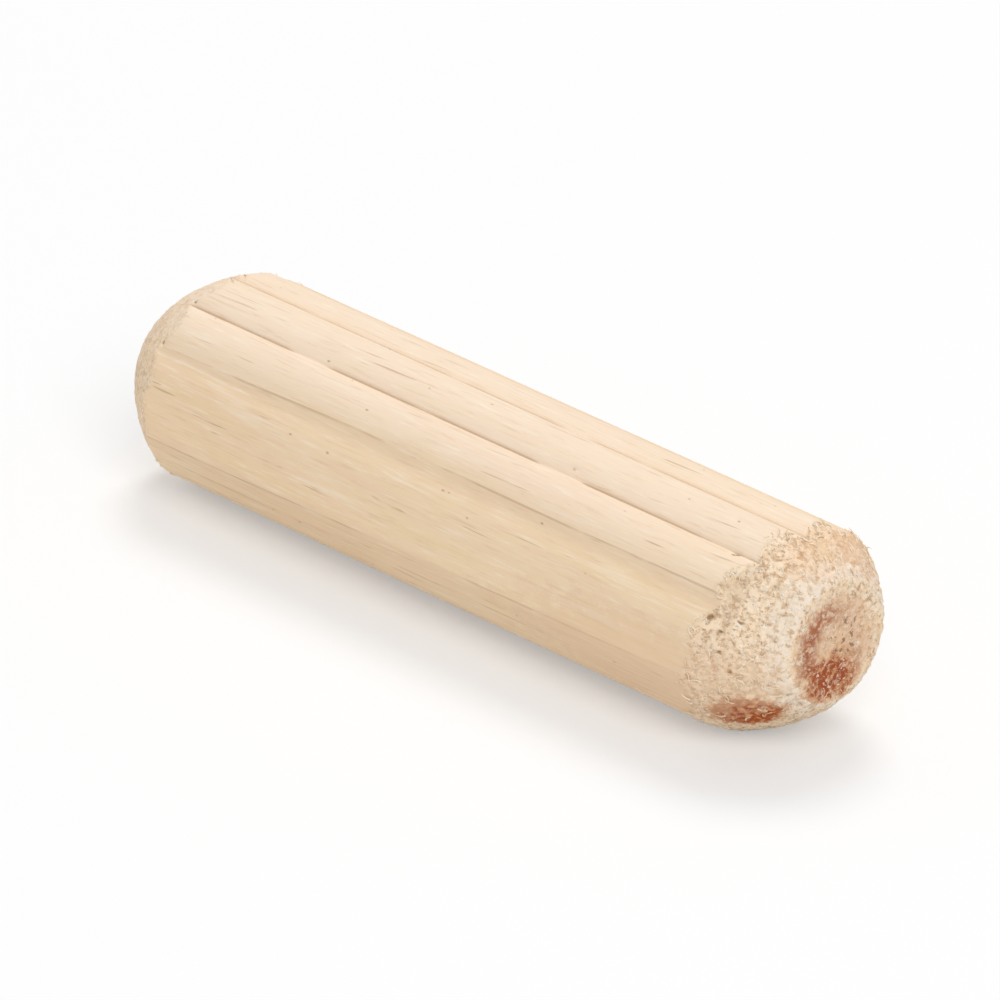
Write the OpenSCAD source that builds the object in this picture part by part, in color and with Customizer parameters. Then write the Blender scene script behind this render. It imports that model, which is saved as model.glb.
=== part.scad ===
// Fluted dowel pin: one piece of birch, turned round, fluted in a die and bevelled at both ends.
// It lies along Y on two of its ridges, with the origin on the surface under its middle.

/* [Pin] */
// Diameter over the ridges, which is that of the hole it is glued into
pin_d = 10; // [6:0.5:16]
// Length from one end face to the other
pin_l = 40; // [20:1:80]

/* [Flutes] */
// Number of lengthwise flutes
flute_count = 12; // [8:1:18]
// Depth of a full flute below the ridges
flute_depth = 0.3; // [0.15:0.05:0.45]
// How far off the die's centre the rod ran, which leaves the flutes on one side shallow
rod_offset = 0.2; // [0:0.02:0.24]
// Side with the shallow flutes, in degrees from straight down towards -X
shallow_side = 52; // [0:1:180]

/* [Ends] */
// Length of each bevel along the pin
bevel_l = 3; // [1:0.25:6]
// Depth of each bevel, from the ridges in to the rim of the end face
bevel_depth = 2.2; // [1:0.1:2.6]
// How far a bevel swells outside a straight cone
bevel_swell = 0.2; // [0.05:0.05:0.3]

/* [Hidden] */
$fn = 96;

ridge_r = pin_d / 2;
flute_r = ridge_r - flute_depth;
pitch = 360 / flute_count;

// A ridge is an arc that touches the outer circle and ends in the flutes on its two sides
valley_x = flute_r * cos(pitch / 2);
valley_y = flute_r * sin(pitch / 2);
ridge_arc_r = (pow(ridge_r - valley_x, 2) + pow(valley_y, 2)) / (2 * (ridge_r - valley_x));
ridge_arc_at = ridge_r - ridge_arc_r;

// The two lowest ridges touch the surface that the pin lies on
axis_h = ridge_arc_at * cos(pitch / 2) + ridge_arc_r;

// The bevel's swollen line is an arc over the straight chord from face rim to body
face_r = ridge_r - bevel_depth;
chord = sqrt(pow(bevel_depth, 2) + pow(bevel_l, 2));
bevel_arc_r = (pow(chord / 2, 2) + pow(bevel_swell, 2)) / (2 * bevel_swell);
arc_back = bevel_arc_r - bevel_swell;
bevel_arc_x = (face_r + ridge_r) / 2 - arc_back * bevel_l / chord;
bevel_arc_y = bevel_l / 2 + arc_back * bevel_depth / chord;

wood = [0.90, 0.80, 0.65];

// Round ridges side by side, over the rod's core that stands proud in the shallow flutes
module fluted_section() {
    union() {
        for (i = [0 : flute_count - 1])
            rotate((i + 0.5) * pitch - 90)
                translate([ridge_arc_at, 0])
                    circle(r = ridge_arc_r);
        rotate(-90 - shallow_side)
            translate([rod_offset, 0])
                circle(r = flute_r);
    }
}

// Half outline of one end, from the face at y = 0 back to the round body
module bevel_profile() {
    intersection() {
        square([ridge_r, bevel_l]);
        translate([bevel_arc_x, bevel_arc_y])
            circle(r = bevel_arc_r, $fn = 360);
    }
}

// Half outline of the whole pin, standing on one end face
module barrel_profile() {
    union() {
        bevel_profile();
        translate([0, bevel_l])
            square([ridge_r, pin_l - 2 * bevel_l]);
        translate([0, pin_l])
            mirror([0, 1])
                bevel_profile();
    }
}

module pin() {
    color(wood)
        translate([0, pin_l / 2, axis_h])
            rotate([90, 0, 0])
                intersection() {
                    linear_extrude(height = pin_l)
                        fluted_section();
                    rotate_extrude()
                        barrel_profile();
                }
}

pin();
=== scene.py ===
import math
import random

import bmesh
import bpy
from mathutils import Matrix, Vector, noise


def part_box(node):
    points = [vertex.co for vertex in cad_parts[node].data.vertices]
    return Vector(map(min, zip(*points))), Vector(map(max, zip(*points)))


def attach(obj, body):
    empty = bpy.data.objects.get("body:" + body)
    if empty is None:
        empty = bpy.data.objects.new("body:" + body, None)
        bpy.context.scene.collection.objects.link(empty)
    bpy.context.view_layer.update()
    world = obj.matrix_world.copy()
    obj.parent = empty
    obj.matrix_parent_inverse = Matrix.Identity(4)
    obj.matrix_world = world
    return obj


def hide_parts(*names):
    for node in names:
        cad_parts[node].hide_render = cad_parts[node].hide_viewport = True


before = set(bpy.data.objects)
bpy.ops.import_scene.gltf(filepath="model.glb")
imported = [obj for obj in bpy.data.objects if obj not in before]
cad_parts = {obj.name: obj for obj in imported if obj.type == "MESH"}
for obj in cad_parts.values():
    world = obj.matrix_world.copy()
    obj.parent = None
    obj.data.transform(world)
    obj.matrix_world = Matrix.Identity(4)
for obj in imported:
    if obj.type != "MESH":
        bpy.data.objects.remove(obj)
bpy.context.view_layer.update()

# The turned blank
# The pin is one piece of birch. A rod is turned round and cut to length, and a hollow cutter bevels
# each end. The rod ran off the cutter's centre, so each bevel is longer on one side than the other.

MM = 0.001
pin_low, pin_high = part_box("pin")
axis_z = (pin_low.z + pin_high.z) / 2
pin_length = pin_high.y - pin_low.y
near_y = pin_low.y
RIDGE_R = 5.0 * MM
FLUTES = 12

# The cutter's wall is an arc. It starts at the rim of the end face, and turns by the face's angle
# until it runs along the pin, at the cutter's own radius.
FACE_R = 2.75 * MM
CUTTER_R = 5.75 * MM
FACE_ANGLE = math.radians(47.5)
cutter_arc_r = (CUTTER_R - FACE_R) / (1 - math.cos(FACE_ANGLE))
cutter_arc_at = CUTTER_R - cutter_arc_r
cutter_depth = cutter_arc_r * math.sin(FACE_ANGLE)

# How far each cut lies off the axis, and on which side, from straight down towards -X
NEAR_CUT = (0.50 * MM, math.radians(214))
FAR_CUT = (0.25 * MM, math.radians(14))

# How fine the mesh is: it has the most rings at the two ends, where the cutter tore the wood
POINTS_PER_FLUTE = 28
FACE_RINGS = 14
NEAR_LENGTH = 4.4 * MM
NEAR_RINGS = 62
FAR_LENGTH = 3.6 * MM
FAR_RINGS = 40
SIDE_RINGS = 112
WELD = 0.002 * MM


def cutter_radius(from_end):
    """Radius inside the cutter at a distance from the end face."""
    short = max(cutter_depth - from_end, 0.0)
    return cutter_arc_at + math.sqrt(cutter_arc_r ** 2 - short ** 2)


def off_centre(radius, offset, off):
    """Distance from the axis to a circle off its centre, at an angle from the side it is shifted to."""
    return offset * math.cos(off) + math.sqrt(radius ** 2 - (offset * math.sin(off)) ** 2)


def half_outline():
    """Points from the middle of the near end face out to its rim and along to the far one's middle."""
    face = [FACE_R * i / FACE_RINGS for i in range(FACE_RINGS)]
    near = [NEAR_LENGTH * i / NEAR_RINGS for i in range(NEAR_RINGS)]
    side_length = pin_length - NEAR_LENGTH - FAR_LENGTH
    side = [NEAR_LENGTH + side_length * i / SIDE_RINGS for i in range(SIDE_RINGS)]
    far = [pin_length - FAR_LENGTH * (1 - i / FAR_RINGS) for i in range(FAR_RINGS + 1)]
    walls = []
    for along in near + side + far:
        from_end = min(along, pin_length - along)
        walls.append((along, min(cutter_radius(from_end), RIDGE_R)))
    far_face = [(pin_length, radius) for radius in reversed(face)]
    return [(0.0, radius) for radius in face] + walls + far_face


def turned_blank():
    """The round blank: its outline, spun about the pin's axis."""
    blank = bmesh.new()
    line = [blank.verts.new((0, near_y + along, axis_z - radius)) for along, radius in half_outline()]
    for first, second in zip(line, line[1:]):
        blank.edges.new((first, second))
    bmesh.ops.spin(
        blank, geom=blank.verts[:] + blank.edges[:], cent=(0, 0, axis_z), axis=(0, 1, 0), dvec=(0, 0, 0),
        angle=2 * math.pi, steps=FLUTES * POINTS_PER_FLUTE, use_merge=True, use_duplicate=False,
    )
    bmesh.ops.remove_doubles(blank, verts=blank.verts, dist=WELD)
    bmesh.ops.recalc_face_normals(blank, faces=blank.faces)
    return blank


# The flutes
# The rod is pressed through a die with a ring of pointed teeth. It ran a little off the die's
# centre, so the flutes on one side are shallow, and the points left a broken crease in the deep ones.

pitch = 2 * math.pi / FLUTES
FLUTE_DEPTH = 0.3 * MM
VALLEY_ROUNDING = 0.05 * MM
ROD_OFFSET = 0.2 * MM
SHALLOW_SIDE = math.radians(52)

# The crease shows in flutes from the first of these depths on, and fully from the second. It fades
# out in gaps along the pin, where a noise is low.
CREASE_DEPTH = 0.06 * MM
CREASE_WIDTH = 0.06 * MM
CREASED_FLUTES = (0.20 * MM, 0.30 * MM)
CREASE_GAPS_PER_MM = 0.33
CREASE_GAP_LEVELS = (-0.60, -0.05)

# The edge between the side and a bevel is a little rounded and ragged, and less torn at the far end.
# Its grain is features per millimetre across and along, and a seed.
EDGE_ROUNDING = 0.08 * MM
EDGE_RAGGED = 0.09 * MM
EDGE_GRAIN = (2.4, 1.1, 31.0)
TORN_FADE = 0.10 * MM
FAR_TEAR = 0.45

# The rim of each face is smoothed over a narrow band of the bevel and of the face
RIM_ON_BEVEL = 0.3 * MM
RIM_ON_FACE = 0.86
RIM_ROUNDING = 6

# How far the mesh's points are drawn together in the valleys, from 0 to 1
CROWDING = 0.5


def turn_of(point):
    """Direction of a point round the axis, from straight down towards -X, in radians."""
    return math.atan2(-point.x, axis_z - point.z) % (2 * math.pi)


def soft_max(a, b, width):
    """The larger of two lengths, rounded off where they are within a width of each other."""
    near = max(width - abs(a - b), 0.0) / width
    return max(a, b) + near * near * width / 4


def soft_step(value, low, high):
    """0 below low, 1 above high, and smooth between."""
    t = min(max((value - low) / (high - low), 0.0), 1.0)
    return t * t * (3 - 2 * t)


def grain_noise(point, across, along, seed):
    """Noise drawn out along the pin, from -1 to 1. The scales are features per millimetre."""
    stretched = Vector((point.x * across, point.y * along, point.z * across)) / MM
    return noise.noise(stretched + Vector((seed, 2.3 * seed, 4.1 * seed)))


def fluted_radius(turn):
    """Radius of the fluted rod: round ridges, with the rod's core showing in the shallow flutes."""
    flute_r = RIDGE_R - FLUTE_DEPTH
    valley_x, valley_y = flute_r * math.cos(pitch / 2), flute_r * math.sin(pitch / 2)
    ridge_arc_r = ((RIDGE_R - valley_x) ** 2 + valley_y ** 2) / (2 * (RIDGE_R - valley_x))
    ridge = off_centre(ridge_arc_r, RIDGE_R - ridge_arc_r, (turn % pitch) - pitch / 2)
    core = off_centre(flute_r, ROD_OFFSET, turn - SHALLOW_SIDE)
    return soft_max(ridge, core, VALLEY_ROUNDING)


def crease(turn, along):
    """How much of the die's crease there is at a place, from 0 to 1."""
    from_valley = min(turn % pitch, pitch - turn % pitch) * RIDGE_R
    if from_valley > 3 * CREASE_WIDTH:
        return 0.0
    line = math.exp(-((from_valley / CREASE_WIDTH) ** 2))
    valley = round(turn / pitch) * pitch
    deep = soft_step(RIDGE_R - fluted_radius(valley), *CREASED_FLUTES)
    gaps = noise.noise(Vector((along / MM * CREASE_GAPS_PER_MM, 7.1 * valley, 3.0)))
    return line * deep * soft_step(gaps, *CREASE_GAP_LEVELS)


def walls_at(turn, along):
    """Radii of the fluted rod and of the bevel cut at a place on the pin, and whether it is near."""
    near = along < pin_length / 2
    offset, side = NEAR_CUT if near else FAR_CUT
    from_end = along if near else pin_length - along
    cut = off_centre(cutter_radius(from_end), offset, turn - side)
    rod = fluted_radius(turn) - CREASE_DEPTH * crease(turn, along)
    return rod, cut, near


def place_on_pin(radius, turn, along):
    """A point at a radius and a turn round the axis, at a distance from the near end."""
    return Vector((-radius * math.sin(turn), near_y + along, axis_z - radius * math.cos(turn)))


def crowded(turn):
    """Draws the mesh's points together towards the valleys, where the section turns sharply."""
    return turn - CROWDING * pitch / (2 * math.pi) * math.sin(2 * math.pi * turn / pitch)


def press_and_cut(blank):
    """Presses the flutes into the blank and cuts its bevels, and marks what the tools left and where dust
    and painted shade darken the crease.
    """
    torn = blank.verts.layers.float.new("torn")
    crease_dust_and_shade = blank.verts.layers.float.new("crease_dust_and_shade")
    rims = []
    for v in blank.verts:
        along = v.co.y - near_y
        radius = math.hypot(v.co.x, v.co.z - axis_z)
        turn = crowded(turn_of(v.co))
        rod, cut, near = walls_at(turn, along)
        outer = -soft_max(-rod, -cut, EDGE_ROUNDING)
        from_end = min(along, pin_length - along)
        share = min(radius / FACE_R, 1.0) if from_end < WELD / 2 else 1.0
        offset, side = NEAR_CUT if near else FAR_CUT
        ragged = EDGE_RAGGED * grain_noise(v.co, *EDGE_GRAIN)
        v.co = place_on_pin(offset, side, along).lerp(place_on_pin(outer, turn, along), share)
        v[torn] = soft_step(rod - cut + ragged, -TORN_FADE, TORN_FADE) * (1.0 if near else FAR_TEAR)
        v[crease_dust_and_shade] = crease(turn, along)
        if from_end < RIM_ON_BEVEL and share > RIM_ON_FACE:
            rims.append(v)
    for _ in range(RIM_ROUNDING):
        bmesh.ops.smooth_vert(
            blank, verts=rims, factor=0.5, use_axis_x=True, use_axis_y=True, use_axis_z=True
        )


# The surface
# The die leaves the sides smooth but for raised grain. The cutter crosses the grain at the ends,
# where it tears the bevels, and picks fibres out where the flutes run out through the near one.

# Relief in layers: height in millimetres, features per millimetre across and along, and seed
RAISED_GRAIN = (
    (0.014, 0.45, 0.10, 3.0),
    (0.006, 2.4, 0.14, 11.0),
)
TORN_GRAIN = (
    (0.040, 1.1, 0.9, 5.0),
    (0.045, 3.1, 2.0, 17.0),
    (0.070, 5.2, 3.6, 41.0),
)

# Fibres are picked out of the torn wood where a noise, of this grain, is above a level, and painted shade
# darkens them
PICKED_GRAIN = (5.2, 3.4, 23.0)
PICKED_FROM = 0.30
PICKED_DEPTH = 0.14
PICKED_DARKNESS = 2.0
PICKED_DARKEST = 0.6

# The whole surface is set in by this much, so that the raised grain stays within the pin's real size
SET_IN = 0.02

# Pits where fibres were torn out: turn in degrees, distance from the near end, depth and width
TORN_OUT = (
    (114, 2.95, 0.15, 0.15),
    (107, 2.45, 0.12, 0.14),
    (95, 2.40, 0.15, 0.14),
    (117, 1.80, 0.10, 0.13),
    (84, 2.00, 0.10, 0.13),
    (129, 1.90, 0.08, 0.12),
    (149, 3.45, 0.08, 0.13),
    (130, 5.90, 0.04, 0.07),
    (154, 13.50, 0.10, 0.12),
    (125, 37.15, 0.10, 0.13),
    (152, 36.95, 0.06, 0.13),
)
PIT_LENGTH_PER_WIDTH = 1.4
PIT_REACH = 2.5

# A pit's edge wanders by this much, in waves round the pin and along it
PIT_EDGE_WANDER = 0.16 * MM
PIT_WAVES_PER_RADIAN = 17.6
PIT_WAVES_PER_MM = 3.52


def layered_noise(point, layers):
    """Relief in millimetres at a point, from layers of noise laid over each other."""
    return sum(height * grain_noise(point, across, along, seed) for height, across, along, seed in layers)


def torn_out(turn, along):
    """Depth of the picked-out pits at a place, in millimetres, and how much painted shade they get."""
    depth = 0.0
    dark = 0.0
    here = Vector((PIT_WAVES_PER_RADIAN * turn, PIT_WAVES_PER_MM * along / MM, 0.0))
    along += PIT_EDGE_WANDER * noise.noise(here)
    turn += PIT_EDGE_WANDER / RIDGE_R * noise.noise(here + Vector((5, 5, 5)))
    for pit_turn, pit_along, pit_depth, width in TORN_OUT:
        ahead = (along / MM - pit_along) / (PIT_LENGTH_PER_WIDTH * width)
        if abs(ahead) < PIT_REACH:
            aside = (turn - math.radians(pit_turn)) * RIDGE_R / MM / width
            share = math.exp(-(ahead * ahead + aside * aside))
            depth += pit_depth * share
            dark = max(dark, share)
    return depth, dark


def roughen(blank):
    """Raised grain on the sides, torn wood on the bevels and end faces, and the picked-out pits with
    their painted shade.
    """
    torn = blank.verts.layers.float["torn"]
    pit_shade = blank.verts.layers.float.new("pit_shade")
    blank.normal_update()
    moves = []
    for v in blank.verts:
        smooth = layered_noise(v.co, RAISED_GRAIN)
        cut = 0.0
        if v[torn] > 0.0:
            picked = max(grain_noise(v.co, *PICKED_GRAIN) - PICKED_FROM, 0.0)
            cut = layered_noise(v.co, TORN_GRAIN) - PICKED_DEPTH * picked
            v[pit_shade] = min(PICKED_DARKNESS * picked * v[torn], PICKED_DARKEST)
        depth, dark = torn_out(turn_of(v.co), v.co.y - near_y)
        v[pit_shade] = max(v[pit_shade], dark)
        moves.append((smooth * (1 - v[torn]) + cut * v[torn] - depth - SET_IN) * MM)
    for v, move in zip(blank.verts, moves):
        v.co += v.normal * move


def shader_node(tree, kind, settings=None, **sockets):
    """Adds a shader node with its settings, and with its sockets linked or set by name."""
    made = tree.nodes.new("ShaderNode" + kind)
    for name, value in (settings or {}).items():
        setattr(made, name, value)
    for name, value in sockets.items():
        numbered = name[0] == "i" and name[1:].isdigit()
        socket = made.inputs[int(name[1:])] if numbered else made.inputs[name]
        if isinstance(value, bpy.types.NodeSocket):
            tree.links.new(value, socket)
        else:
            socket.default_value = value
    return made


def maths(tree, operation, first, second=0.0):
    """One step of arithmetic on single values."""
    return shader_node(tree, "Math", {"operation": operation}, i0=first, i1=second).outputs[0]


def product(tree, first, *others):
    """A value times one or more others."""
    for other in others:
        first = maths(tree, "MULTIPLY", first, other)
    return first


def vector_maths(tree, operation, *values, output=0):
    """One step of arithmetic on places. Output 1 is the single value that some steps give."""
    sockets = {"i%d" % i: value for i, value in enumerate(values)}
    return shader_node(tree, "VectorMath", {"operation": operation}, **sockets).outputs[output]


def between(tree, value, low, high):
    """0 at low, 1 at high, and smooth between, whichever of the two is larger."""
    sockets = {"Value": value, "From Min": low, "From Max": high}
    return shader_node(tree, "MapRange", {"interpolation_type": "SMOOTHSTEP"}, **sockets).outputs[0]


def repeated(tree, value, spacing, shift):
    """Where a value stands between two marks that come again at a spacing, from 0 to 1."""
    return maths(tree, "FRACT", maths(tree, "DIVIDE", maths(tree, "ADD", value, shift), spacing))


def tinted(tree, under, colour, amount, level=1.0):
    """One colour laid over another, by an amount times a level."""
    amount = maths(tree, "MULTIPLY", amount, level)
    over = colour if isinstance(colour, bpy.types.NodeSocket) else (*colour, 1)
    under = under if isinstance(under, bpy.types.NodeSocket) else (*under, 1)
    return shader_node(tree, "Mix", {"data_type": "RGBA"}, i0=amount, i6=under, i7=over).outputs[2]


def drawn_out(tree, place, across, along, shift=0.0):
    """Coordinates for a pattern drawn out along the pin, in features per millimetre."""
    moved = (shift, 2.3 * shift, 4.1 * shift)
    return vector_maths(tree, "MULTIPLY_ADD", place, (across, along, across), moved)


def cloud(tree, place, across, along, detail=2.0, rough=0.5, shift=0.0, warp=0.0):
    """Noise drawn out along the pin, from 0 to 1."""
    return shader_node(
        tree, "TexNoise", None, Vector=drawn_out(tree, place, across, along, shift),
        Scale=1.0, Detail=detail, Roughness=rough, Distortion=warp,
    ).outputs[0]


def spot(tree, place, patch, wobble):
    """1 inside a soft-edged oval patch, 0 outside it. Its edge wanders with the wobble."""
    middle, reach = patch
    shares = vector_maths(tree, "DIVIDE", vector_maths(tree, "SUBTRACT", place, middle), reach)
    out = vector_maths(tree, "LENGTH", shares, output=1)
    return between(tree, maths(tree, "ADD", out, wobble), 1.2, 0.7)


# Colours of the smooth sides
SAPWOOD = (0.892, 0.695, 0.470)
DULL_SAPWOOD = (0.876, 0.660, 0.438)
LATE_WOOD = (0.780, 0.565, 0.375)
# A pale layer at the top, which also paints the light on the top of the pin
PALE_LAYER_AND_TOP_LIGHT = (0.900, 0.745, 0.610)
RING_LINE = (0.540, 0.370, 0.220)
LATE_LINE = (0.570, 0.370, 0.225)
DARK_HAIR = (0.660, 0.460, 0.285)
LIGHT_HAIR = (0.970, 0.870, 0.730)
FIBRE_LINE = (0.520, 0.340, 0.195)
PORE = (0.430, 0.255, 0.125)
# Dust and painted shade in the die's crease
CREASE_DUST_AND_SHADE = (0.540, 0.350, 0.200)

# Yellow, pink and white streaks: colour, features per millimetre across and along, roughness, shift,
# the noise from which each starts and at which it is whole, and strength
STREAKS = (
    ((0.860, 0.650, 0.385), 1.3, 0.09, 0.55, 4.0, 0.52, 0.68, 0.50),
    ((0.850, 0.610, 0.430), 1.7, 0.10, 0.55, 9.0, 0.54, 0.68, 0.40),
    ((0.960, 0.850, 0.700), 2.2, 0.16, 0.60, 15.0, 0.54, 0.70, 0.38),
)

# Growth layers, in millimetres: they lie nearly flat, and drift up and down along the pin
ACROSS_LAYERS = (-0.242, 0.010, 0.970)
LAYER_DRIFT = 0.9
RING_WIDTH = 3.6
RING_SHIFT = 36.0
LATE_SPACING = 0.83
LATE_SHIFT = 36.1
FIBRE_SLANT = math.radians(-3)


def clear_wood(tree, place):
    """Smooth side grain: growth rings, soft streaks, hair-fine fibres and a few pores, and painted light
    on the top.
    """
    blotch = cloud(tree, place, 0.30, 0.05, detail=3.0)
    wood = tinted(tree, SAPWOOD, DULL_SAPWOOD, between(tree, blotch, 0.40, 0.62))
    for colour, across, along, rough, shift, start, whole, strength in STREAKS:
        streak = cloud(tree, place, across, along, detail=3.0, rough=rough, shift=shift)
        wood = tinted(tree, wood, colour, between(tree, streak, start, whole), strength)

    # Growth rings, nearly flat layers that the pin was cut across
    drift = maths(tree, "SUBTRACT", cloud(tree, place, 0.22, 0.030, detail=1.0), 0.5)
    layer = vector_maths(tree, "DOT_PRODUCT", place, ACROSS_LAYERS, output=1)
    layer = maths(tree, "ADD", layer, product(tree, drift, LAYER_DRIFT))
    ring = repeated(tree, layer, RING_WIDTH, RING_SHIFT)
    wood = tinted(tree, wood, LATE_WOOD, between(tree, ring, 0.62, 1.0), 0.40)
    # Paler at the top: a pale growth layer, and painted light where the light from above falls
    wood = tinted(tree, wood, PALE_LAYER_AND_TOP_LIGHT, between(tree, layer, 2.8, 4.7), 0.60)
    breaks = cloud(tree, place, 1.4, 0.22, detail=3.0, rough=0.6, shift=21.0)
    line = product(tree, between(tree, ring, 0.965, 0.985), between(tree, breaks, 0.38, 0.58))
    wood = tinted(tree, wood, RING_LINE, line, 0.55)

    # Thin brown lines of late wood in the layers below the middle
    late = repeated(tree, layer, LATE_SPACING, LATE_SHIFT)
    late = product(tree, between(tree, late, 0.86, 0.93), between(tree, late, 1.0, 0.95))
    low = product(tree, between(tree, layer, -0.3, -0.9), between(tree, layer, -3.6, -2.8))
    late = product(tree, late, low, between(tree, breaks, 0.42, 0.60))
    wood = tinted(tree, wood, LATE_LINE, late, 0.60)

    # Hair-fine fibres, dark and light
    hair = cloud(tree, place, 8.0, 0.45, detail=4.0, rough=0.65, shift=2.0)
    wood = tinted(tree, wood, DARK_HAIR, between(tree, hair, 0.53, 0.72), 0.36)
    wood = tinted(tree, wood, LIGHT_HAIR, between(tree, hair, 0.46, 0.30), 0.42)

    # Thin dark fibre lines that run a little across the axis, each for a few millimetres
    slanted = shader_node(tree, "Mapping", None, Vector=place, Rotation=(0, 0, FIBRE_SLANT)).outputs[0]
    fibre = cloud(tree, slanted, 6.5, 0.10, detail=1.0, shift=27.0)
    seen_here = cloud(tree, place, 0.9, 0.30, rough=0.6, shift=45.0)
    fibre = product(tree, between(tree, fibre, 0.66, 0.75), between(tree, seen_here, 0.48, 0.60))
    wood = tinted(tree, wood, FIBRE_LINE, fibre, 0.60)

    # Pores, short dark dashes along the grain, in one cell out of twenty-five
    cells = shader_node(tree, "TexVoronoi", None, Vector=drawn_out(tree, place, 3.2, 1.6), Scale=1.0)
    pick = shader_node(tree, "SeparateColor", None, Color=cells.outputs["Color"]).outputs[0]
    dash = between(tree, cells.outputs["Distance"], 0.20, 0.08)
    pore = product(tree, dash, between(tree, pick, 0.955, 0.965))
    wood = tinted(tree, wood, PORE, pore, 0.60)
    height = maths(tree, "SUBTRACT", product(tree, hair, 0.5), product(tree, pore, 0.9))
    return wood, height


# Colours of the torn ends
FUZZ_SHADE = (0.560, 0.365, 0.210)
FUZZ = (0.945, 0.755, 0.555)
YELLOW_FUZZ = (0.880, 0.670, 0.430)
CURL = (0.990, 0.900, 0.760)
# Painted shade in the holes between the fibres
HOLE_SHADE = (0.420, 0.250, 0.130)
DARK_RING = (0.640, 0.460, 0.300)
LIGHT_RING = (0.900, 0.770, 0.600)
# Pale, closely cut wood, with a painted highlight on the face's rim
CLOSE_CUT_AND_RIM_HIGHLIGHT = (0.880, 0.780, 0.670)
SAWN = (0.600, 0.400, 0.235)
# Painted shade in the torn-out pits
TORN_OUT_PIT_SHADE = (0.260, 0.120, 0.042)

# The cutter's rings, the band next to the face, cut more closely and with a painted highlight on the rim,
# and the sawn face, in millimetres
CUTTER_RINGS_PER_MM = 4.5
BAND_INNER_EDGE = (2.6, 2.9)
BAND_OUTER_EDGE = (3.9, 3.1)
SAWN_EDGE = (3.0, 2.7)


def cut_middle(cut, along):
    """A point on the axis of an end's cut, in millimetres from the middle of the pin."""
    offset, side = cut
    return (place_on_pin(offset, side, along) - Vector((0, 0, axis_z))) / MM


def fine_noise(tree, place):
    """Noise from 0 to 1, with about one feature to each unit of the place that it is read at."""
    return shader_node(tree, "TexNoise", None, Vector=place, Scale=1.0, Detail=2.0).outputs[0]


def torn_wood(tree, place):
    """Cut end grain: matted fibres, light curls, painted shade in the holes, rings left by the cutter,
    and a pale band by the face with a painted highlight on its rim.
    """
    speck = cloud(tree, place, 3.8, 2.9, detail=4.0, rough=0.70, shift=6.0)
    fuzz = tinted(tree, FUZZ_SHADE, FUZZ, between(tree, speck, 0.36, 0.55))
    yellow = cloud(tree, place, 0.8, 0.6, shift=12.0)
    fuzz = tinted(tree, fuzz, YELLOW_FUZZ, between(tree, yellow, 0.46, 0.66), 0.50)

    # Curls: thin bright lines that wander over the surface and break off, and painted shade in the holes
    # between them
    winding = cloud(tree, place, 2.6, 1.9, shift=18.0, warp=1.2)
    off_line = maths(tree, "ABSOLUTE", maths(tree, "SUBTRACT", winding, 0.5))
    snapped = cloud(tree, place, 4.2, 3.4, rough=0.6, shift=51.0)
    curl = product(tree, between(tree, off_line, 0.055, 0.018), between(tree, snapped, 0.50, 0.57))
    fuzz = tinted(tree, fuzz, CURL, curl, 0.85)
    hole = cloud(tree, place, 5.2, 3.4, detail=3.0, rough=0.6, shift=25.0)
    fuzz = tinted(tree, fuzz, HOLE_SHADE, between(tree, hole, 0.42, 0.33), 0.80)

    # Rings left by the cutter, which ran about its own axis
    from_middle = vector_maths(tree, "SUBTRACT", place, cut_middle(NEAR_CUT, 0.0))
    from_axis = vector_maths(tree, "MULTIPLY", from_middle, (1, 0, 1))
    from_axis = vector_maths(tree, "LENGTH", from_axis, output=1)
    rings = product(tree, from_axis, CUTTER_RINGS_PER_MM)
    rings = shader_node(tree, "CombineXYZ", None, X=rings).outputs[0]
    uneven = vector_maths(tree, "MULTIPLY", place, (0.35, 0.2, 0.35))
    ring = fine_noise(tree, vector_maths(tree, "ADD", rings, uneven))
    fuzz = tinted(tree, fuzz, DARK_RING, between(tree, ring, 0.46, 0.34), 0.35)
    fuzz = tinted(tree, fuzz, LIGHT_RING, between(tree, ring, 0.56, 0.68), 0.35)

    # A paler band next to the face: more closely cut wood, and a painted highlight on the face's rim
    outside = between(tree, from_axis, *BAND_INNER_EDGE)
    inside = between(tree, from_axis, *BAND_OUTER_EDGE)
    band = product(tree, outside, inside, between(tree, speck, 0.34, 0.58))
    fuzz = tinted(tree, fuzz, CLOSE_CUT_AND_RIM_HIGHLIGHT, band, 0.65)

    # The far end face, sawn off square and a little darker, with the saw's fine straight marks
    off_middle = vector_maths(tree, "SUBTRACT", place, cut_middle(FAR_CUT, pin_length))
    off_middle = vector_maths(tree, "MULTIPLY", off_middle, (1, 6, 1))
    sawn = between(tree, vector_maths(tree, "LENGTH", off_middle, output=1), *SAWN_EDGE)
    marks = fine_noise(tree, vector_maths(tree, "MULTIPLY", place, (0.5, 1, 7.0)))
    sawn = product(tree, sawn, between(tree, marks, 0.20, 0.62))
    fuzz = tinted(tree, fuzz, SAWN, sawn, 0.60)
    height = maths(tree, "ADD", product(tree, speck, 2.2), product(tree, curl, 0.8))
    height = maths(tree, "ADD", height, product(tree, ring, 1.2))
    return fuzz, height, curl


# Colours of the stain
HAZE_BROWN = (0.700, 0.420, 0.245)
CORE_ORANGE = (0.565, 0.235, 0.080)
HEARTWOOD = (0.320, 0.058, 0.010)
# Painted shade in the pits of the face
FACE_PIT_SHADE = (0.240, 0.120, 0.060)
BRIGHT_END = (0.900, 0.640, 0.500)
LOW_ORANGE = (0.645, 0.250, 0.058)
LOW_HEARTWOOD = (0.375, 0.070, 0.008)
STAINED_CURL = (0.960, 0.830, 0.660)

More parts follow.
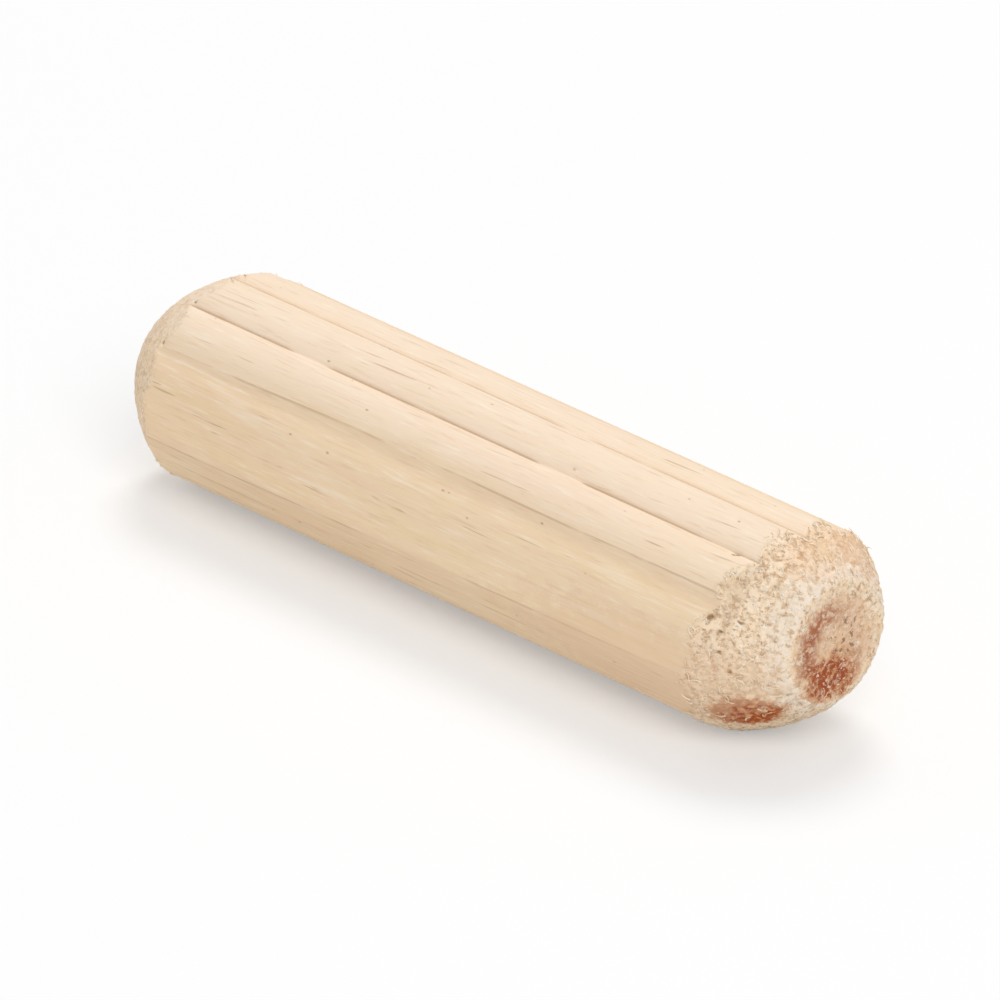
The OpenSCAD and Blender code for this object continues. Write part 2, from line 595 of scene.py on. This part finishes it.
# Stained patches: the middle of each, in millimetres from the middle of the pin, and its reach each way
near_mm = near_y / MM
CORE = ((-0.02, near_mm, -1.15), (1.30, 0.6, 1.00))
ROUND_CORE = ((-0.10, near_mm, -1.15), (1.6, 0.3, 1.3))
HAZE = ((0.10, near_mm, 0.20), (2.45, 0.30, 2.45))
FACE_MIDDLE = ((0.75, near_mm, 0.55), (1.00, 0.30, 1.10))
WHOLE_FACE = ((0.10, near_mm, 0.20), (2.7, 0.3, 2.7))
LOW_ON_BEVEL = ((-3.10, near_mm + 1.75, -2.74), (1.55, 1.9, 1.00))

# The ring in the face, which is strongest on the side that this direction points to
HEART = (0.15, near_mm, 0.25)
HEART_R = 1.62
STRONG_SIDE = (-0.80, 0, -0.35)

# Faint warm tints: painted shade low along the near side, and tints above the face and to its right:
# colour, patch and strength
WARM_TINTS_AND_LOW_SHADE = (
    # Painted shade, low on the near side
    ((0.800, 0.560, 0.370), ((-4.28, near_mm + 6.0, -1.38), (2.4, 9.0, 2.2)), 0.45),
    ((0.850, 0.540, 0.320), ((0.40, near_mm + 1.4, 3.88), (2.2, 1.2, 1.2)), 0.30),
    ((0.780, 0.460, 0.280), ((2.37, near_mm + 1.2, 3.28), (1.4, 1.0, 1.6)), 0.35),
)


def stain_and_shade(tree, place, colour, curl):
    """Red-brown heartwood round the near face and low on its bevel, an orange tint above, and painted
    shade in the face's pits and low along the side.
    """
    wander = cloud(tree, place, 1.7, 1.2, detail=5.0, rough=0.75, shift=33.0)
    wobble = product(tree, maths(tree, "SUBTRACT", wander, 0.5), 2.2)

    # A ring in the face, strongest at its left and lowest parts
    from_heart = vector_maths(tree, "SUBTRACT", place, HEART)
    heart_r = vector_maths(tree, "LENGTH", from_heart, output=1)
    off_ring = maths(tree, "ABSOLUTE", maths(tree, "SUBTRACT", heart_r, HEART_R))
    off_ring = maths(tree, "ADD", off_ring, product(tree, wobble, 0.5))
    to_side = vector_maths(tree, "DOT_PRODUCT", from_heart, STRONG_SIDE, output=1)
    ring = product(tree, between(tree, off_ring, 0.85, 0.12), 0.85, between(tree, to_side, -1.6, 0.3))
    core = spot(tree, place, CORE, wobble)
    mottle = cloud(tree, place, 3.6, 3.0, detail=3.0, rough=0.65, shift=37.0)
    stain = product(tree, maths(tree, "MAXIMUM", ring, core), between(tree, mottle, 0.34, 0.54))
    haze = spot(tree, place, HAZE, product(tree, wobble, 0.4))
    colour = tinted(tree, colour, HAZE_BROWN, haze, 0.55)
    colour = tinted(tree, colour, CORE_ORANGE, spot(tree, place, ROUND_CORE, wobble), 0.60)
    colour = tinted(tree, colour, HEARTWOOD, stain, 0.95)

    # Painted shade in pits in the middle of the face, and bright ends of fibres in the stain
    picked = between(tree, cloud(tree, place, 4.4, 4.4, shift=61.0), 0.44, 0.36)
    middle = spot(tree, place, FACE_MIDDLE, wobble)
    colour = tinted(tree, colour, FACE_PIT_SHADE, product(tree, picked, middle), 0.80)
    ends = between(tree, cloud(tree, place, 6.5, 6.5, detail=1.0, shift=55.0), 0.60, 0.68)
    colour = tinted(tree, colour, BRIGHT_END, product(tree, ends, core), 0.80)

    # Heartwood low on the bevel, and fainter tints along the sides, the lowest of them painted shade
    low = spot(tree, place, LOW_ON_BEVEL, product(tree, wobble, 0.7))
    colour = tinted(tree, colour, LOW_ORANGE, low, 0.85)
    low = product(tree, low, between(tree, mottle, 0.36, 0.50))
    colour = tinted(tree, colour, LOW_HEARTWOOD, low)
    for tint, patch, strength in WARM_TINTS_AND_LOW_SHADE:
        colour = tinted(tree, colour, tint, spot(tree, place, patch, wobble), strength)
    curl = product(tree, curl, spot(tree, place, WHOLE_FACE, wobble))
    return tinted(tree, colour, STAINED_CURL, curl, 0.42)


def new_material(name):
    """An empty material, and its node tree."""
    material = bpy.data.materials.new(name)
    material.use_nodes = True
    material.node_tree.nodes.clear()
    return material, material.node_tree


def matt_finish(tree, sockets):
    """Gives a material a matt surface, with its sockets linked or set by name."""
    surface = shader_node(tree, "BsdfPrincipled", None, **sockets)
    tree.links.new(surface.outputs[0], shader_node(tree, "OutputMaterial").inputs["Surface"])


def birch():
    """Pale birch: smooth on the sides, torn and stained at the ends."""
    material, tree = new_material("pale_birch")

    # Millimetres from the middle of the pin
    place = shader_node(
        tree, "Mapping", None, Vector=shader_node(tree, "TexCoord").outputs["Object"],
        Location=(0, 0, -axis_z / MM), Scale=(1 / MM, 1 / MM, 1 / MM),
    ).outputs[0]
    torn, crease_dust_and_shade, pit_shade = [
        shader_node(tree, "Attribute", {"attribute_name": mark}).outputs["Fac"]
        for mark in ("torn", "crease_dust_and_shade", "pit_shade")
    ]
    wood, wood_height = clear_wood(tree, place)
    # Dust and painted shade darken the die's crease
    wood = tinted(tree, wood, CREASE_DUST_AND_SHADE, between(tree, crease_dust_and_shade, 0.30, 0.90), 0.58)
    fuzz, fuzz_height, curl = torn_wood(tree, place)
    colour = tinted(tree, wood, fuzz, torn)
    colour = stain_and_shade(tree, place, colour, curl)
    # Painted shade in the torn-out pits
    colour = tinted(tree, colour, TORN_OUT_PIT_SHADE, between(tree, pit_shade, 0.40, 0.95), 0.85)

    height = maths(tree, "ADD", wood_height, product(tree, fuzz_height, torn))
    bump = shader_node(tree, "Bump", None, Strength=0.7, Distance=0.035 * MM, Height=height).outputs[0]
    matt_finish(tree, {
        "Base Color": colour, "Roughness": 0.74, "Specular IOR Level": 0.25, "Normal": bump,
    })
    return material


def finished(shape, name, material):
    """Makes a bmesh into a smooth-shaded object that rides on the pin's body."""
    mesh = bpy.data.meshes.new(name)
    shape.to_mesh(mesh)
    shape.free()
    mesh.shade_smooth()
    mesh.materials.append(material)
    piece = bpy.data.objects.new(name, mesh)
    bpy.context.scene.collection.objects.link(piece)
    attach(piece, "root")
    return piece


blank = turned_blank()
press_and_cut(blank)
roughen(blank)
pin = finished(blank, "fluted_pin", birch())
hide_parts("pin")

# The loose fibres
# The cutter lifts short curls of pale fibre that stay rooted in the wood: most on the near bevel
# and round its edge, and a few on the far one and at the mouths of the flutes.

# One curl, before it is sized
FIBRE_STEPS = 5
FIBRE_STEP = 0.080 * MM
FIBRE_R = 0.040 * MM
FIBRE_SIDES = 5
FIBRE_TAPER = 0.8
FIBRE_CURL = math.radians(17)
FIBRE_LIFT = math.radians(2)

# How the curls vary: size, length and height as shares of the size, and swing and dip in radians
FIBRE_SIZES = (0.6, 1.25)
FIBRE_LENGTHS = (0.8, 1.5)
FIBRE_HEIGHT = 0.8
FIBRE_SWING = 0.9
FIBRE_DIP = (-0.08, 0.02)

# Where they stand: over the near bevel as shares of its length, along its edge, and on the far one's
NEAR_FIBRES = 260
EDGE_FIBRES = 90
FAR_FIBRES = 40
OVER_BEVEL = (0.04, 1.0)
EDGE_SPREAD = 0.12 * MM
LONGEST_BEVEL = 5.0 * MM
BEVEL_HALVINGS = 12
ROOT_DEPTH = 0.01 * MM
CLEAR_OF_FLOOR = 0.4 * MM

# Small steps over the wall that give its slope
STEP_ALONG = 0.05 * MM
STEP_ROUND = 0.01
draw = random.Random(12)


def fibre_shape(shape):
    """One curl: a small ring drawn out into a bent and tapering strand, lying along +X."""
    made = bmesh.ops.create_circle(shape, cap_ends=True, segments=FIBRE_SIDES, radius=FIBRE_R)
    ring = made["verts"]
    bmesh.ops.rotate(shape, verts=ring, matrix=Matrix.Rotation(math.radians(90), 3, "Y"))
    edges = shape.edges[:]
    bend = Matrix.Rotation(FIBRE_CURL, 3, "Z")
    lift = Matrix.Rotation(-FIBRE_LIFT, 3, "Y")
    for step in range(FIBRE_STEPS):
        drawn = bmesh.ops.extrude_edge_only(shape, edges=edges)["geom"]
        ring = [item for item in drawn if isinstance(item, bmesh.types.BMVert)]
        edges = [item for item in drawn if isinstance(item, bmesh.types.BMEdge)]
        middle = sum((v.co for v in ring), Vector()) / len(ring)
        taper = (FIBRE_TAPER, FIBRE_TAPER, FIBRE_TAPER)
        bmesh.ops.scale(shape, verts=ring, vec=taper, space=Matrix.Translation(-middle))
        bmesh.ops.rotate(shape, verts=ring, cent=middle, matrix=bend)
        heading = Matrix.Rotation(FIBRE_CURL * (step + 1), 3, "Z") @ lift @ Vector((FIBRE_STEP, 0, 0))
        bmesh.ops.translate(shape, verts=ring, vec=heading)
    bmesh.ops.contextual_create(shape, geom=edges)
    return shape.verts[:] + shape.edges[:] + shape.faces[:]


def wall_point(turn, along):
    """A point on the pin's wall, be it the fluted side or a bevel."""
    rod, cut, _ = walls_at(turn, along)
    return place_on_pin(min(rod, cut), turn, along)


def surface_frame(turn, along):
    """A point on the pin's wall, with the directions along it and out of it."""
    here = wall_point(turn, along)
    down = (wall_point(turn, along + STEP_ALONG) - here).normalized()
    round_it = (wall_point(turn + STEP_ROUND, along) - here).normalized()
    out = round_it.cross(down).normalized()
    if out.dot(here - Vector((0, here.y, axis_z))) < 0:
        out = -out
    return here, down, out


def place_fibre(shape, pattern, turn, along, size):
    """Roots a copy of the curl in the wall, turned mostly along the grain."""
    here, down, out = surface_frame(turn, along)
    axes = Matrix((down, out.cross(down), out)).transposed().to_4x4()
    swing = Matrix.Rotation(draw.gauss(0.0, FIBRE_SWING) + draw.choice((0.0, math.pi)), 4, "Z")
    dip = Matrix.Rotation(draw.uniform(*FIBRE_DIP), 4, "Y")
    length = size * draw.uniform(*FIBRE_LENGTHS)
    width = size * draw.choice((-1, 1))
    scale = Matrix.Diagonal((length, width, FIBRE_HEIGHT * size, 1))
    if here.z < CLEAR_OF_FLOOR:
        return
    sunk = Matrix.Translation(here - out * ROOT_DEPTH)
    copy = bmesh.ops.duplicate(shape, geom=pattern)["geom"]
    verts = [item for item in copy if isinstance(item, bmesh.types.BMVert)]
    bmesh.ops.transform(shape, matrix=sunk @ axes @ swing @ dip @ scale, verts=verts)


def bevel_edge(turn, near):
    """Distance from the end at which the bevel runs out into the fluted side."""
    low, high = 0.0, LONGEST_BEVEL
    for _ in range(BEVEL_HALVINGS):
        middle = (low + high) / 2
        rod, cut, _ = walls_at(turn, middle if near else pin_length - middle)
        low, high = (middle, high) if cut < rod else (low, middle)
    return low


def loose_fibres():
    """All the fibres: some over the near bevel, then some along its edge and on the far one's."""
    shape = bmesh.new()
    pattern = fibre_shape(shape)
    pattern_verts = shape.verts[:]
    for i in range(NEAR_FIBRES + EDGE_FIBRES + FAR_FIBRES):
        turn = draw.uniform(0, 2 * math.pi)
        near = i < NEAR_FIBRES + EDGE_FIBRES
        edge = bevel_edge(turn, near)
        if i < NEAR_FIBRES:
            from_end = edge * draw.uniform(*OVER_BEVEL)
        else:
            from_end = edge + draw.gauss(0.0, EDGE_SPREAD)
        along = from_end if near else pin_length - from_end
        place_fibre(shape, pattern, turn, along, draw.uniform(*FIBRE_SIZES))
    bmesh.ops.delete(shape, geom=pattern_verts, context="VERTS")
    bmesh.ops.recalc_face_normals(shape, faces=shape.faces)
    return shape


BARE_FIBRE = (0.930, 0.815, 0.650)
YELLOW_FIBRE = (0.820, 0.630, 0.420)


def pale_fibre():
    """Bare fibre, a little lighter than the cut wood, and yellower in places."""
    material, tree = new_material("pale_fibre")
    where = shader_node(tree, "TexCoord").outputs["Object"]
    place = vector_maths(tree, "MULTIPLY", where, (1 / MM, 1 / MM, 1 / MM))
    yellow = cloud(tree, place, 1.1, 0.9, shift=3.0)
    colour = tinted(tree, BARE_FIBRE, YELLOW_FIBRE, between(tree, yellow, 0.42, 0.62))
    matt_finish(tree, {"Base Color": colour, "Roughness": 0.8, "Specular IOR Level": 0.2})
    return material


finished(loose_fibres(), "loose_fibres", pale_fibre())

# The floor
# A plain white table top that runs out of sight on all sides. To the eye it is a little whiter than
# in the light that it throws back, so that the pin's underside doesn't get too bright.

FLOOR_SIZE = 4.0
FLOOR_WHITE = 0.90
WHITER_SEEN = 0.03
GLOW_SEEN = 0.35


def white_floor():
    """White paint, with a faint glow that only the eye sees."""
    material, tree = new_material("white_floor")
    seen = shader_node(tree, "LightPath").outputs["Is Camera Ray"]
    white = maths(tree, "ADD", product(tree, seen, WHITER_SEEN), FLOOR_WHITE)
    paint = shader_node(tree, "BsdfDiffuse", None, Color=white).outputs[0]
    glow = shader_node(tree, "Emission", None, Color=(1, 1, 1, 1), Strength=1.0).outputs[0]
    glowing = product(tree, seen, GLOW_SEEN)
    mixed = shader_node(tree, "MixShader", None, i0=glowing, i1=paint, i2=glow).outputs[0]
    tree.links.new(mixed, shader_node(tree, "OutputMaterial").inputs["Surface"])
    return material


floor_shape = bmesh.new()
bmesh.ops.create_grid(floor_shape, x_segments=1, y_segments=1, size=FLOOR_SIZE / 2)
floor_mesh = bpy.data.meshes.new("floor")
floor_shape.to_mesh(floor_mesh)
floor_shape.free()
floor_mesh.materials.append(white_floor())
floor = bpy.data.objects.new("floor", floor_mesh)
bpy.context.scene.collection.objects.link(floor)

# The light
# A soft lamp high over the pin, a little behind it and to its right, a wider one of about the same
# strength in front of it on the left, and a white room round it.

ROOM_LEVEL = 0.52

# Each lamp's name, place, width and power
LAMPS = (
    ("high_lamp", Vector((0.25, 0.20, 0.60)), 0.30, 1.6),
    ("front_lamp", Vector((-0.28, -0.46, 0.50)), 0.45, 2.1),
)

world = bpy.data.worlds.new("white_room")
world.use_nodes = True
sky = world.node_tree
sky.nodes.clear()
room = shader_node(sky, "Background", None, Color=(1, 1, 1, 1), Strength=ROOM_LEVEL).outputs[0]
white = shader_node(sky, "Background", None, Color=(1, 1, 1, 1), Strength=1.0).outputs[0]
path = shader_node(sky, "LightPath")
seen = maths(sky, "MAXIMUM", path.outputs["Is Camera Ray"], path.outputs["Is Glossy Ray"])
seen = maths(sky, "MAXIMUM", seen, path.outputs["Is Transmission Ray"])
sky_mix = shader_node(sky, "MixShader", None, i0=seen, i1=room, i2=white).outputs[0]
sky.links.new(sky_mix, shader_node(sky, "OutputWorld").inputs["Surface"])
bpy.context.scene.world = world

for lamp_name, lamp_place, width, power in LAMPS:
    lamp = bpy.data.lights.new(lamp_name, "AREA")
    lamp.shape = "DISK"
    lamp.size = width
    lamp.energy = power
    lamp_object = bpy.data.objects.new(lamp_name, lamp)
    lamp_object.location = lamp_place
    lamp_object.rotation_mode = "QUATERNION"
    lamp_object.rotation_quaternion = (-lamp_place).to_track_quat("-Z", "Y")
    bpy.context.scene.collection.objects.link(lamp_object)

# The camera
# It looks down along the pin from the left of its near end, as the photograph does, from far off
# through a long lens, so that the far end looks hardly smaller than the near one.

AZIMUTH = math.radians(-44.75)
ELEVATION = math.radians(24.71)
ROLL = math.radians(1.79)
DISTANCE = 0.57
LENS = 480.0
SEEN_FROM = 0.05
SEEN_TO = 20.0

back = Vector((
    math.sin(AZIMUTH) * math.cos(ELEVATION),
    -math.cos(AZIMUTH) * math.cos(ELEVATION),
    math.sin(ELEVATION),
))
target = Vector((0, 0, axis_z))
camera = bpy.data.cameras.new("camera")
camera.lens = LENS
camera.clip_start = SEEN_FROM
camera.clip_end = SEEN_TO
camera_object = bpy.data.objects.new("camera", camera)
camera_object.rotation_mode = "QUATERNION"
camera_object.location = target + back * DISTANCE
camera_object.rotation_quaternion = (
    (-back).to_track_quat("-Z", "Y").to_matrix() @ Matrix.Rotation(ROLL, 3, "Z")
).to_quaternion()
bpy.context.scene.collection.objects.link(camera_object)
bpy.context.scene.camera = camera_object
bpy.context.scene.view_settings.view_transform = "Standard"
